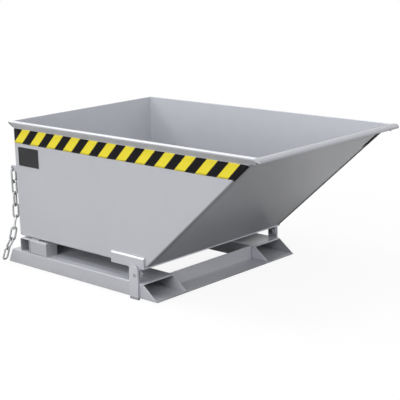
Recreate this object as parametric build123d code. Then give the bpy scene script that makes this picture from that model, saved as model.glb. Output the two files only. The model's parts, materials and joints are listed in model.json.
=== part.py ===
# Tipping hopper: a sloped sheet-steel tub that tips forward on a base frame with two fork pockets.
# +X points forward to the chute, +Y to the left, +Z up. The origin lies on the floor under the
# middle of the whole length. Lengths along the frame are counted from the tub's rear wall or from
# the bend where its floor turns up into the chute.
from build123d import *
import os
from math import asin, atan2, cos, hypot, pi, sin, tan

os.makedirs("parts", exist_ok=True)

# Tub, outside sizes
tub_width = 1000.0
tub_floor_length = 957.0
tub_mouth_length = 1650.0
tub_depth = 611.0
tub_sheet = 3.0
tub_bend = 8.0
rear_wall_back = 780.0

# Folded rim on three sides and curled lip at the front of the chute
rim_reach = 20.0
rear_rim_reach = 12.0
rim_drop = 34.0
rim_sheet = 3.0
rim_bend = 6.0
lip_bend = 15.0
lip_level = 14.0
lip_run = 20.0
lip_fall = 5.0

# Fork pockets, each an open tunnel along X
frame_beyond_tub = 16.0
pocket_clear_width = 200.0
pocket_clear_height = 64.0
pocket_plate = 5.0
pocket_edge = 4.0
pocket_back = 88.0
pocket_beyond_bend = 78.0
rear_cut = 37.0
front_cut = 98.0
foot_height = 8.0
rear_foot_length = 120.0
rear_foot_width = 150.0
rear_foot_from_back = 45.0

# Front of the frame between the pockets
base_plate_depth = 120.0
base_plate = 5.0
cross_plate = 6.0

# Rear cross tube and the two rests that carry the tub
cross_tube = 74.0
cross_tube_wall = 4.0
cross_tube_corner = 8.0
cross_tube_ahead = 20.0
rest_tube_length = 126.0
rest_cap = 4.0
rest_tube_gap = 6.0
rest_pad_length = 58.0
rest_pad_width = 50.0
rest_pad = 7.1
seat_gap = 0.3

# Hinge at the front corners
hinge_behind_bend = 57.0
hinge_drop = 45.0
hinge_pin = 20.0
pin_clearance = 0.05
pin_recess = 3.0
pin_head = 32.0
pin_head_length = 6.0
bracket_width = 58.0
bracket_plate = 10.0
bracket_rise = 19.0
bracket_set_back = 10.0
bush_diameter = 30.0
bush_side_gap = 1.0
bush_inside = 5.0
ear_radius = 21.0
ear_run = 40.0
hinge_plate_length = 227.0
hinge_plate_height = 59.0
hinge_plate = 10.0
hinge_plate_below = 11.0
hinge_plate_from_bend = 10.0
floor_bar_depth = 50.0
floor_bar_from_bend = 12.0

# Hazard tape and the blank label
tape_height = 76.0
tape = 0.4
tape_below_rim = 4.0
label_length = 165.0
label_height = 102.0
label_sheet = 1.0
label_from_rear = 31.0
label_below_tape = 16.5

# Catch at the rear, kept released
latch_lever = 12.0
latch_side_gap = 0.5
latch_arm_width = 24.0
latch_pin = 12.0
latch_pin_head = 20.0
latch_pin_head_length = 4.0
latch_boss = 18.0
latch_pivot_above_pocket = 32.0
latch_throw = 25.0
latch_nose = 20.0
latch_nose_reach = 18.0
latch_nose_tip = 4.0
latch_nose_gap = 5.0
latch_back_gap = 5.0
latch_handle_reach = 44.0
latch_handle_height = 40.0
latch_handle_width = 16.0
rope_eye = 14.0
rope_eye_rim = 7.0
cheek_plate = 6.0
cheek_margin = 12.0
latch_stop = 10.0
latch_stop_above = 26.0
strike_width = 60.0
strike_reach = 30.0
strike_plate = 12.0
strike_above_floor = 20.0

# Safety chain and its lug on the rear wall
chain_wire = 10.0
chain_inner_length = 64.0
chain_inner_width = 17.0
chain_links = 7
chain_slack = 0.8
chain_twist = 13.0
end_link_inner_length = 64.0
chain_lug_plate = 8.0
chain_lug_reach = 36.0
chain_lug_height = 32.0
chain_lug_hole = 18.0
chain_lug_above_floor = 339.0
# Way of the chain from its lug: back, outward and down, each point counted from the lug's hole
chain_way = [
    (0.0, 0.0, 0.0),
    (0.0, 2.0, 248.0),
    (0.0, 18.0, 301.0),
    (6.0, 26.0, 363.0),
    (42.0, 38.0, 420.0),
    (68.0, 42.0, 475.0),
    (72.0, 43.0, 570.0),
]

# Worked out from the sizes above
rear_x = -rear_wall_back
pocket_height = pocket_clear_height + 2 * pocket_plate
pocket_width = pocket_clear_width + 2 * pocket_plate
pocket_z = foot_height
pocket_top_z = pocket_z + pocket_height
rest_top_z = pocket_top_z + cross_tube
floor_z = rest_top_z + rest_pad + seat_gap
top_z = floor_z + tub_depth
half_tub = tub_width / 2
half_rim = half_tub + rim_reach
half_frame = half_tub + frame_beyond_tub
inner_face = half_frame - pocket_width
bend_x = rear_x + tub_floor_length
mouth_x = rear_x + tub_mouth_length
parting = half_tub - tub_bend
slope = atan2(tub_depth, tub_mouth_length - tub_floor_length)
lip_inner = lip_bend - tub_sheet
lip_start = (lip_bend - lip_inner * cos(slope)) / sin(slope)
pocket_front_x = bend_x + pocket_beyond_bend
hinge_x = bend_x - hinge_behind_bend
hinge_z = floor_z - hinge_drop
trim = 5 * tub_bend


def save(node, shape):
    """Write one node's solid or group of solids."""
    export_step(shape, f"parts/{node}.step")


def prism(face, y_low, y_high):
    """Solid over a face drawn as x and z, between two Y values."""
    return Pos(0, y_high, 0) * extrude(Plane.XZ * face, amount=y_high - y_low)


def slab(points, y_low, y_high):
    """Solid over points given as x and z, between two Y values."""
    return prism(make_face(Polyline(*points, close=True)), y_low, y_high)


def block(x_low, x_high, y_low, y_high, z_low, z_high):
    """Box between two corners."""
    corner = Align.MIN
    solid = Box(x_high - x_low, y_high - y_low, z_high - z_low, align=(corner, corner, corner))
    return Pos(x_low, y_low, z_low) * solid


def rod_y(diameter, x, z, y_low, y_high):
    """Round bar along Y."""
    bar = Rot(90, 0, 0) * Cylinder(diameter / 2, y_high - y_low)
    return Pos(x, (y_low + y_high) / 2, z) * bar


def save_pair(node, left):
    """Write a left-hand piece and its mirrored right-hand twin."""
    save(f"{node}_left", left)
    save(f"{node}_right", mirror(left, about=Plane.XZ))


def chute_x(z):
    """Outer face of the chute at a height."""
    return bend_x + (z - floor_z) / tan(slope)


# Tub: one rounded outer form less a smaller inner one, parted into its sheets
def tub_form(inset, top):
    """Solid form of the tub, drawn in by inset on its closed sides."""
    points = [
        (rear_x + inset, floor_z + inset),
        (bend_x - inset * tan(slope / 2), floor_z + inset),
        (chute_x(top) - inset / sin(slope), top),
        (rear_x + inset, top),
    ]
    half = half_tub - inset
    radius = tub_bend - inset
    form = slab(points, -half, half)
    form = fillet(form.edges().filter_by(Axis.Y).sort_by(Axis.Z)[:2], radius)
    sides = form.faces().filter_by(Axis.Y)
    edges = [edge for side in sides for edge in side.edges() if edge.center().Z < top - radius / 2]
    return fillet(edges, radius)


def make_tub():
    """Rear wall, floor, chute and two side walls, meeting face to face."""
    shell = tub_form(0.0, top_z) - tub_form(tub_sheet, top_z + trim)
    rear = Vector(rear_x, floor_z)
    bend = Vector(bend_x, floor_z)
    along = Vector(cos(slope), sin(slope))
    inward = Vector(-sin(slope), cos(slope))
    rear_split = Vector(1, 1) * trim
    bend_split = Vector(-tan(slope / 2), 1) * trim
    end = Vector(mouth_x, top_z) - along * (lip_start + lip_run)
    regions = {
        "rear_wall": [
            rear - rear_split,
            rear + rear_split,
            Vector(rear_x + trim, top_z + trim),
            Vector(rear_x - trim, top_z + trim),
        ],
        "floor_plate": [rear - rear_split, rear + rear_split, bend + bend_split, bend - bend_split],
        "chute_plate": [bend - bend_split, bend + bend_split, end + inward * trim, end - inward * trim],
    }
    for node, corners in regions.items():
        points = [(corner.X, corner.Y) for corner in corners]
        save(node, (shell & slab(points, -parting, parting)).solid())
    reach = tub_mouth_length + trim
    left = shell & block(rear_x - trim, rear_x + reach, parting, half_tub + trim, 0, top_z)
    save_pair("side_wall", left.solid())


# Rim: top flange outward, rounded edge and a slanted return, so it is a closed section with the wall
def rim_outline(reach, inset):
    """Section of the rim drawn in by inset: x runs out from the wall, y up to zero at the top."""
    flat = reach - rim_bend
    fall = rim_drop - rim_bend
    lean = atan2(fall, flat) - asin(rim_bend / hypot(flat, fall))
    turns = (pi / 2, lean / 2, lean - pi / 2)
    centre = Vector(flat, -rim_bend)
    start, middle, end = (centre + Vector(cos(turn), sin(turn)) * (rim_bend - inset) for turn in turns)
    high = Vector(0, -inset)
    foot = Vector(0, end.Y - end.X * tan(lean))
    edge = ThreePointArc(start, middle, end)
    return make_face([Line(high, start), edge, Line(end, foot), Line(foot, high)])


def rim_bar(place, reach, run, hollow_run, corners):
    """Rim along a plane's normal, cut to a plan of corners."""
    bar = extrude(rim_outline(reach, 0.0), amount=run)
    bar -= extrude(rim_outline(reach, rim_sheet), amount=hollow_run)
    keep = extrude(make_face(Polyline(*corners, close=True)), amount=top_z)
    return ((place * bar) & keep).solid()


def make_rim():
    """Side rims with closed front ends and a rear rim, mitred at the rear corners."""
    back = rear_x - rear_rim_reach
    plan = [(rear_x, half_tub), (back, half_rim), (mouth_x, half_rim), (mouth_x, half_tub)]
    run = tub_mouth_length + rear_rim_reach
    place = Plane(origin=(back, half_tub, top_z), x_dir=(0, 1, 0), z_dir=(1, 0, 0))
    save_pair("rim", rim_bar(place, rim_reach, run, run - rim_sheet, plan))

    plan = [(rear_x, half_tub), (back, half_rim), (back, -half_rim), (rear_x, -half_tub)]
    place = Plane(origin=(rear_x, -half_rim, top_z), x_dir=(-1, 0, 0), z_dir=(0, 1, 0))
    save("rim_rear", rim_bar(place, rear_rim_reach, 2 * half_rim, 2 * half_rim, plan))


def make_front_lip():
    """Top of the chute bent level and down, and the plates that close its two ends beside the rims."""
    along = Vector(cos(slope), sin(slope))
    outward = Vector(sin(slope), -cos(slope))
    tangent = Vector(mouth_x, top_z) - along * lip_start
    rear_centre = tangent + outward * lip_inner
    front_centre = rear_centre + Vector(lip_level, 0)

    def arc(centre, radius, turns):
        return ThreePointArc(*(centre + Vector(cos(turn), sin(turn)) * radius for turn in turns))

    rise = (pi / 2 + slope, (pi + slope) / 2, pi / 2)
    drop = (pi / 2, pi / 4, 0)
    over_rise = arc(rear_centre, lip_bend, rise)
    over_drop = arc(front_centre, lip_bend, drop)
    under_rise = arc(rear_centre, lip_inner, rise)
    under_drop = arc(front_centre, lip_inner, drop)
    fall = Vector(0, -lip_fall)
    first = tangent - along * lip_run
    first_in = first - outward * tub_sheet
    face = make_face([
        Line(first_in, over_rise @ 0),
        over_rise,
        Line(over_rise @ 1, over_drop @ 0),
        over_drop,
        Line(over_drop @ 1, over_drop @ 1 + fall),
        Line(over_drop @ 1 + fall, under_drop @ 1 + fall),
        Line(under_drop @ 1 + fall, under_drop @ 1),
        under_drop,
        Line(under_drop @ 0, under_rise @ 1),
        under_rise,
        Line(under_rise @ 0, first),
        Line(first, first_in),
    ])
    reach = lip_bend + lip_level + trim
    ahead = block(mouth_x, mouth_x + reach, -half_rim, half_rim, top_z - reach, top_z)
    lip_half = half_rim - tub_sheet
    lip = prism(face, -parting, parting) + (prism(face, -lip_half, lip_half) & ahead)
    save("front_lip", lip.solid())

    low = over_drop @ 1 + fall
    knee = Vector((over_rise @ 0).X, top_z - 2 * rim_bend)
    end = make_face([
        over_rise,
        Line(over_rise @ 1, over_drop @ 0),
        over_drop,
        Line(over_drop @ 1, low),
        Line(low, knee),
        Line(knee, over_rise @ 0),
    ])
    save_pair("lip_end", (prism(end, lip_half, half_rim) & ahead).solid())


# Hinge pieces on the tub
def make_tub_hinge():
    """Plates with a weld face on top and an ear below, bushes in the ears, and the bar between them."""
    front = bend_x - hinge_plate_from_bend
    low = floor_z - hinge_plate_below
    high = low + hinge_plate_height
    outer = half_tub + hinge_plate
    section = [(half_tub, low), (outer, low), (outer, high - hinge_plate), (half_tub, high)]
    place = Plane(origin=(front - hinge_plate_length, 0, 0), x_dir=(0, 1, 0), z_dir=(1, 0, 0))
    plate = place * extrude(make_face(Polyline(*section, close=True)), amount=hinge_plate_length)
    ear = [
        (hinge_x - ear_radius - ear_run, low),
        (hinge_x + ear_radius, low),
        (hinge_x + ear_radius, hinge_z),
        (hinge_x - ear_radius, hinge_z),
    ]
    plate += slab(ear, half_tub, outer)
    plate += rod_y(2 * ear_radius, hinge_x, hinge_z, half_tub, outer)
    plate -= rod_y(bush_diameter + 2 * pin_clearance, hinge_x, hinge_z, half_tub, outer)
    save_pair("hinge_plate", plate.solid())

    bush_in = half_tub - bush_inside
    bush_out = half_frame - bush_side_gap
    bush = rod_y(bush_diameter, hinge_x, hinge_z, bush_in, bush_out)
    bush -= rod_y(hinge_pin + 2 * pin_clearance, hinge_x, hinge_z, bush_in, bush_out)
    save_pair("hinge_bush", bush)

    bar_front = bend_x - floor_bar_from_bend
    save("floor_bar", block(bar_front - floor_bar_depth, bar_front, -half_tub, half_tub, low, floor_z))


# Trim on the side walls
def make_trim():
    """Hazard tape under the side rims and a blank label below it at the rear."""
    high = top_z - rim_drop - tape_below_rim
    low = high - tape_height
    back = rear_x + tub_bend
    front_gap = tub_bend / sin(slope)
    points = [
        (back, low),
        (chute_x(low) - front_gap, low),
        (chute_x(high) - front_gap, high),
        (back, high),
    ]
    save_pair("hazard_tape", slab(points, half_tub, half_tub + tape))

    label_top = low - label_below_tape
    label_x = rear_x + label_from_rear
    label = block(
        label_x,
        label_x + label_length,
        -half_tub - label_sheet,
        -half_tub,
        label_top - label_height,
        label_top,
    )
    save("label_plate", label)


# Base frame
def rail_points(z_low, z_high):
    """Side outline of a pocket between two heights, with both slanted ends."""
    def ends(z):
        share = (z - pocket_z) / pocket_height
        back = rear_x - pocket_back + rear_cut * share
        front = pocket_front_x - front_cut * share
        return back, front
    low_back, low_front = ends(z_low)
    high_back, high_front = ends(z_high)
    return [(low_back, z_low), (low_front, z_low), (high_front, z_high), (high_back, z_high)]


def make_pockets():
    """Two fork pockets of four plates each, standing on feet at the rear."""
    tall = rail_points(pocket_z, pocket_top_z)
    outer = slab(tall, half_frame - pocket_plate, half_frame)
    outer = fillet(outer.edges().filter_by(Axis.X).sort_by(Axis.Y)[-2:], pocket_edge)
    save_pair("pocket_outer", outer.solid())
    save_pair("pocket_inner", slab(tall, inner_face, inner_face + pocket_plate))
    clear_in = inner_face + pocket_plate
    clear_out = half_frame - pocket_plate
    roof = rail_points(pocket_top_z - pocket_plate, pocket_top_z)
    save_pair("pocket_top", slab(roof, clear_in, clear_out))
    ground = rail_points(pocket_z, pocket_z + pocket_plate)
    save_pair("pocket_floor", slab(ground, clear_in, clear_out))
    foot_x = rear_x - pocket_back + rear_foot_from_back
    foot_y = half_frame - pocket_width / 2
    foot = block(
        foot_x,
        foot_x + rear_foot_length,
        foot_y - rear_foot_width / 2,
        foot_y + rear_foot_width / 2,
        0,
        foot_height,
    )
    save_pair("rear_foot", foot)


def square_tube(place, length):
    """Square tube along a plane's normal, its section about the plane's origin."""
    hollow = cross_tube - 2 * cross_tube_wall
    section = RectangleRounded(cross_tube, cross_tube, cross_tube_corner)
    section -= RectangleRounded(hollow, hollow, cross_tube_corner - cross_tube_wall)
    return (place * extrude(section, amount=length)).solid()


def make_cross_members():
    """Front base and cross plates, rear cross tube, rests with their end plates and pads."""
    base_x = pocket_front_x - base_plate_depth
    base_top = pocket_z + base_plate
    base = block(base_x, base_x + base_plate_depth, -inner_face, inner_face, pocket_z, base_top)
    save("front_base_plate", base)
    cross = block(base_x, base_x + cross_plate, -inner_face, inner_face, base_top, pocket_top_z)
    save("front_cross_plate", cross)

    tube_x = rear_x + cross_tube_ahead
    tube_z = pocket_top_z + cross_tube / 2
    start = (tube_x + cross_tube / 2, -half_frame, tube_z)
    tube = square_tube(Plane(origin=start, x_dir=(1, 0, 0), z_dir=(0, 1, 0)), 2 * half_frame)
    save("rear_cross_tube", tube)

    rest_x = tube_x + cross_tube + rest_tube_gap
    start = (rest_x, half_frame - cross_tube / 2, tube_z)
    rest = square_tube(Plane(origin=start, x_dir=(0, 1, 0), z_dir=(1, 0, 0)), rest_tube_length)
    save_pair("rest_tube", rest)
    outline = RectangleRounded(cross_tube, cross_tube, cross_tube_corner)
    start = (rest_x + rest_tube_length, half_frame - cross_tube / 2, tube_z)
    cap = Plane(origin=start, x_dir=(0, 1, 0), z_dir=(1, 0, 0)) * extrude(outline, amount=rest_cap)
    save_pair("rest_cap", cap.solid())
    pad_in = half_frame - (cross_tube + rest_pad_width) / 2
    pad = block(
        rest_x,
        rest_x + rest_pad_length,
        pad_in,
        pad_in + rest_pad_width,
        rest_top_z,
        rest_top_z + rest_pad,
    )
    save_pair("rest_pad", pad)


def make_frame_hinge():
    """Round-topped brackets that double as front feet, and the headed pins fixed in them."""
    half = bracket_width / 2
    middle = hinge_x - bracket_set_back
    outer = half_frame + bracket_plate
    round_z = hinge_z + bracket_rise
    plate = block(middle - half, middle + half, half_frame, outer, 0, round_z)
    plate += rod_y(bracket_width, middle, round_z, half_frame, outer)
    plate -= rod_y(hinge_pin + 2 * pin_clearance, hinge_x, hinge_z, half_frame, outer)
    save_pair("hinge_bracket", plate.solid())
    head = half_tub - bush_inside - bush_side_gap
    pin = rod_y(hinge_pin, hinge_x, hinge_z, head, outer - pin_recess)
    pin += rod_y(pin_head, hinge_x, hinge_z, head - pin_head_length, head)
    save_pair("hinge_pin", pin.solid())


# Catch at the rear of the frame
def make_latch():
    """Swinging lever with a hook's nose between two cheeks, its pin and stop, and the strike on the tub."""
    strike_z = floor_z + strike_above_floor
    strike_back = rear_x - strike_reach
    strike_half = strike_width / 2
    strike = block(strike_back, rear_x, -strike_half, strike_half, strike_z, strike_z + strike_plate)
    save("latch_strike", strike)

    half_arm = latch_arm_width / 2
    half_lever = latch_lever / 2
    pivot_x = strike_back - latch_back_gap - half_arm
    pivot_z = pocket_top_z + latch_pivot_above_pocket
    nose_low = strike_z + strike_plate + latch_nose_gap - pivot_z
    nose_high = nose_low + latch_nose
    nose_front = half_arm + latch_back_gap + latch_nose_reach
    handle_low = latch_handle_height - latch_handle_width / 2
    handle_high = handle_low + latch_handle_width
    eye_x = -half_arm - latch_handle_reach + rope_eye
    arm = [(-half_arm, 0), (half_arm, 0), (half_arm, nose_high), (-half_arm, nose_high)]
    nose = [
        (half_arm, nose_low),
        (nose_front, nose_low),
        (nose_front, nose_low + latch_nose_tip),
        (half_arm, nose_high),
    ]
    handle = [(eye_x, handle_low), (0, handle_low), (0, handle_high), (eye_x, handle_high)]
    lever = rod_y(2 * latch_boss, 0, 0, -half_lever, half_lever)
    for outline in (arm, handle):
        lever += slab(outline, -half_lever, half_lever)
    eye_rim = rope_eye + 2 * rope_eye_rim
    lever += rod_y(eye_rim, eye_x, latch_handle_height, -half_lever, half_lever)
    lever -= rod_y(rope_eye, eye_x, latch_handle_height, -half_lever, half_lever)
    lever -= rod_y(latch_pin + 2 * pin_clearance, 0, 0, -half_lever, half_lever)
    pivot = Pos(pivot_x, 0, pivot_z)
    released = Rot(0, -latch_throw, 0)
    save("latch_lever", (pivot * released * lever).solid())
    save("latch_nose", pivot * released * slab(nose, -half_lever, half_lever))

    stop_away = half_arm + latch_stop / 2 + seat_gap
    stop = (pivot * released * Pos(-stop_away, 0, latch_stop_above)).position
    cheek_in = half_lever + latch_side_gap
    cheek_out = cheek_in + cheek_plate
    tube_x = rear_x + cross_tube_ahead
    cheek_back = stop.X - latch_stop / 2 - cheek_margin
    cheek_low = pivot_z - latch_pin / 2 - cheek_margin
    cheek_high = stop.Z + latch_stop / 2 + cheek_margin
    cheek = block(cheek_back, tube_x, cheek_in, cheek_out, cheek_low, cheek_high)
    cheek = fillet(cheek.edges().filter_by(Axis.Y).sort_by(Axis.X)[:2], cheek_margin)
    cheek -= rod_y(latch_pin + 2 * pin_clearance, pivot_x, pivot_z, cheek_in, cheek_out)
    cheek -= rod_y(latch_stop + 2 * pin_clearance, stop.X, stop.Z, cheek_in, cheek_out)
    save_pair("latch_cheek", cheek.solid())

    pin = rod_y(latch_pin, pivot_x, pivot_z, -cheek_out, cheek_out)
    for side in (-1, 1):
        ends = sorted((side * cheek_out, side * (cheek_out + latch_pin_head_length)))
        pin += rod_y(latch_pin_head, pivot_x, pivot_z, ends[0], ends[1])
    save("latch_pin", pin.solid())
    save("latch_stop", rod_y(latch_stop, stop.X, stop.Z, -cheek_out, cheek_out))


# Chain
def chain_link(inner_length):
    """One long link lying in the XZ plane, its length along Z, about its own middle."""
    radius = (chain_inner_width + chain_wire) / 2
    half = inner_length / 2 - chain_inner_width / 2
    right = Line((radius, -half), (radius, half))
    over = ThreePointArc((radius, half), (0, half + radius), (-radius, half))
    left = Line((-radius, half), (-radius, -half))
    under = ThreePointArc((-radius, -half), (0, -half - radius), (radius, -half))
    path = Plane.XZ * Wire([right, over, left, under])
    start = Plane(origin=(radius, 0, -half), z_dir=(0, 0, 1))
    return sweep(start * Circle(chain_wire / 2), path=path)


def along_way(points, spans):
    """Points down a polyline, each a straight span from the one before."""
    places = [points[0]]
    index = 0
    for span in spans:
        here = places[-1]
        while (points[index + 1] - here).length < span:
            index += 1
        leg_start = points[index] if (points[index] - here).length < span else here
        leg = (points[index + 1] - leg_start).normalized()
        gap = leg_start - here
        half = gap.dot(leg)
        step = -half + (half * half - gap.dot(gap) + span * span) ** 0.5
        places.append(leg_start + leg * step)
    return places


def make_chain():
    """Lug on the rear wall and the links that hang from it over the end of the frame."""
    lug_y = -(half_tub - tub_bend - chain_lug_plate / 2)
    lug_low = floor_z + chain_lug_above_floor
    hole_x = rear_x - chain_lug_reach
    hole_z = lug_low + chain_lug_height / 2
    y_low = lug_y - chain_lug_plate / 2
    y_high = lug_y + chain_lug_plate / 2
    lug = block(hole_x, rear_x, y_low, y_high, lug_low, lug_low + chain_lug_height)
    lug += rod_y(chain_lug_height, hole_x, hole_z, y_low, y_high)
    lug -= rod_y(chain_lug_hole, hole_x, hole_z, y_low, y_high)
    save("chain_lug", lug.solid())

    crown = (chain_inner_width + chain_wire) / 2
    crown_fall = crown - (crown**2 - (chain_lug_plate / 2) ** 2) ** 0.5
    hang = Vector(hole_x, lug_y, hole_z - chain_lug_hole / 2 + crown_fall + seat_gap)
    way = [hang + Vector(-back, -out, -down) for back, out, down in chain_way]
    spans = [chain_inner_length - chain_slack] * chain_links
    spans.append(end_link_inner_length - chain_slack)
    knots = along_way(way, spans)
    links = []
    for index, (high, low) in enumerate(zip(knots, knots[1:])):
        last = index == chain_links
        axis = (high - low).normalized()
        turn = 90.0 * (index + 1) + chain_twist * index
        place = Plane(origin=(high + low) / 2, x_dir=Vector(1, 0, 0).cross(axis).cross(axis), z_dir=axis)
        length = end_link_inner_length if last else chain_inner_length
        links.append(place * Rot(0, 0, turn) * chain_link(length))
    save("chain_end_link", links.pop())
    save("chain_links", Compound(children=links))


make_tub()
make_rim()
make_front_lip()
make_tub_hinge()
make_trim()
make_pockets()
make_cross_members()
make_frame_hinge()
make_latch()
make_chain()
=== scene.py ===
"""Looks of a tipping hopper: silver paint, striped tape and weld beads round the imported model."""
import json
import math
from typing import NamedTuple

import bmesh
import bpy
from bpy.props import FloatProperty, FloatVectorProperty, IntProperty, PointerProperty
from mathutils import Matrix, Vector


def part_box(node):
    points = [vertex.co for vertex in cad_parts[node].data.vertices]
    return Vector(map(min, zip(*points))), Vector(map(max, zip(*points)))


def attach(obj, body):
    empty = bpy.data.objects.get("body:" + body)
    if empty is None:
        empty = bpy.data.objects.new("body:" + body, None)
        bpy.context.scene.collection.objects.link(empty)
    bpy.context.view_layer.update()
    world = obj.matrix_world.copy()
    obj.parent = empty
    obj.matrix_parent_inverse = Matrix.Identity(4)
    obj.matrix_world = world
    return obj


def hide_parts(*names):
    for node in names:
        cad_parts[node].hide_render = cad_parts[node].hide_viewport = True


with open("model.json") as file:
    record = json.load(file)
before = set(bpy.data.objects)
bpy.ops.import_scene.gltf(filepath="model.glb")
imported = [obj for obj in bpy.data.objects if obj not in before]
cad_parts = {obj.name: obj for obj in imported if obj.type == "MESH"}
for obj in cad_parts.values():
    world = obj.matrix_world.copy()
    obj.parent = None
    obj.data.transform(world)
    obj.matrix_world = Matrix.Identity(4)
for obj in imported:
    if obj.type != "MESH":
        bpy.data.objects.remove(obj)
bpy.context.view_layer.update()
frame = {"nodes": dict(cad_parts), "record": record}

bl_info = {
    "name": "Tipping hopper looks",
    "version": (1, 0, 0),
    "blender": (4, 5, 0),
    "location": "View3D > Sidebar > Hopper",
    "description": "Paints a tipping hopper, lays its tape and weld beads and sets it in a studio",
    "category": "Object",
}

# Each side's name and the way that it lies along y
SIDES = (("left", 1.0), ("right", -1.0))

# How far a soiled box laps over a face, so that the face lies inside it
SKIN = 0.0005

# How far a soiled box runs on where its end must not show
FAR = 1.0

# The way that the chute's underside faces, long enough for its slant to count in full
AHEAD = Vector((5.0, 0.0, 0.0))

# The darkest tone that soil leaves on the coat
LEAST_TONE = 0.04

# Width of the camera's sensor in millimetres, which its lens goes with
SENSOR_WIDTH = 36.0


# Settings that a user may change


def colour_property(name, description, default):
    """A colour."""
    return FloatVectorProperty(
        name=name, description=description, default=default, size=3, min=0.0, max=1.0, subtype="COLOR"
    )


def length_property(name, description, default):
    """A length in metres."""
    return FloatProperty(
        name=name, description=description, default=default, min=0.0, precision=6, unit="LENGTH"
    )


def angle_property(name, description, degrees):
    """An angle, given in degrees."""
    return FloatProperty(
        name=name, description=description, default=math.radians(degrees), subtype="ANGLE"
    )


def share_property(name, description, default):
    """A share from nought to one."""
    return FloatProperty(
        name=name, description=description, default=default, min=0.0, max=1.0, subtype="FACTOR"
    )


def tone_property(name, description, default):
    """A tone, where one is the plain colour's."""
    return FloatProperty(name=name, description=description, default=default, min=0.0, max=3.0)


def power_property(name, description, default):
    """A lamp's power in watts."""
    return FloatProperty(name=name, description=description, default=default, min=0.0, unit="POWER")


def count_property(name, description, default, least=1):
    """A count with its least value."""
    return IntProperty(name=name, description=description, default=default, min=least)


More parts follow.
